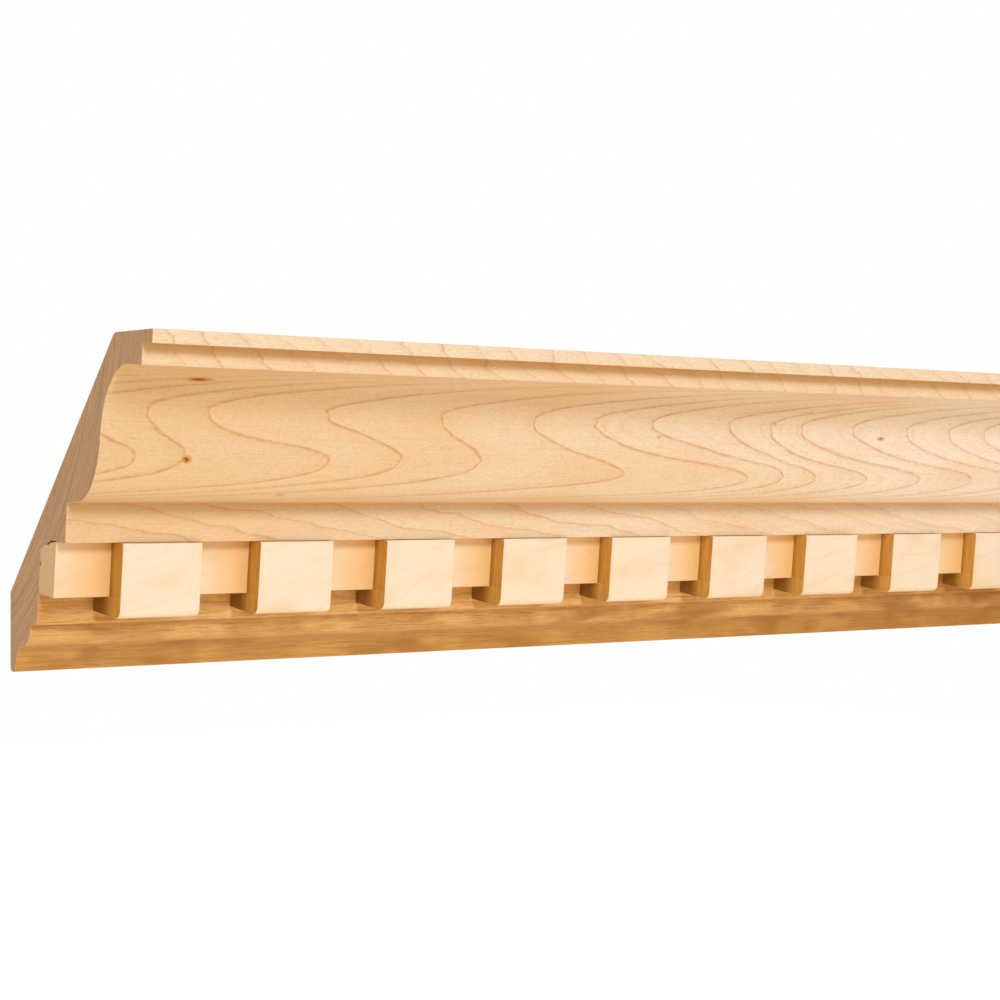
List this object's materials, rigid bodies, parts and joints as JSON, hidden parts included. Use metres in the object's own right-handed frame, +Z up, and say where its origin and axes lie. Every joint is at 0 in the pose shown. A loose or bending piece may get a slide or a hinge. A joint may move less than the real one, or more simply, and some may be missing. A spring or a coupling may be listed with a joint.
{
  "type": "crown moulding length with dentil strip",
  "caption": "Sprung maple crown moulding with an ogee face and a row of dentil blocks, cut square at both ends, that closes the corner between a wall and a ceiling.",
  "frame": {"origin": "centre of the flat strip at the bottom of the back that bears on the wall, halfway along the length", "axes": "+X along the moulding, +Y into the wall, +Z up to the ceiling"},
  "size_m": [0.4444, 0.072, 0.0894],
  "materials": {
    "maple_crown": "planed hard maple, unfinished satin",
    "maple_strip": "planed hard maple, paler, unfinished satin"
  },
  "bodies": {
    "root": {"crown_body": "maple_crown", "dentil_strip": "maple_strip"}
  },
  "joints": []
}
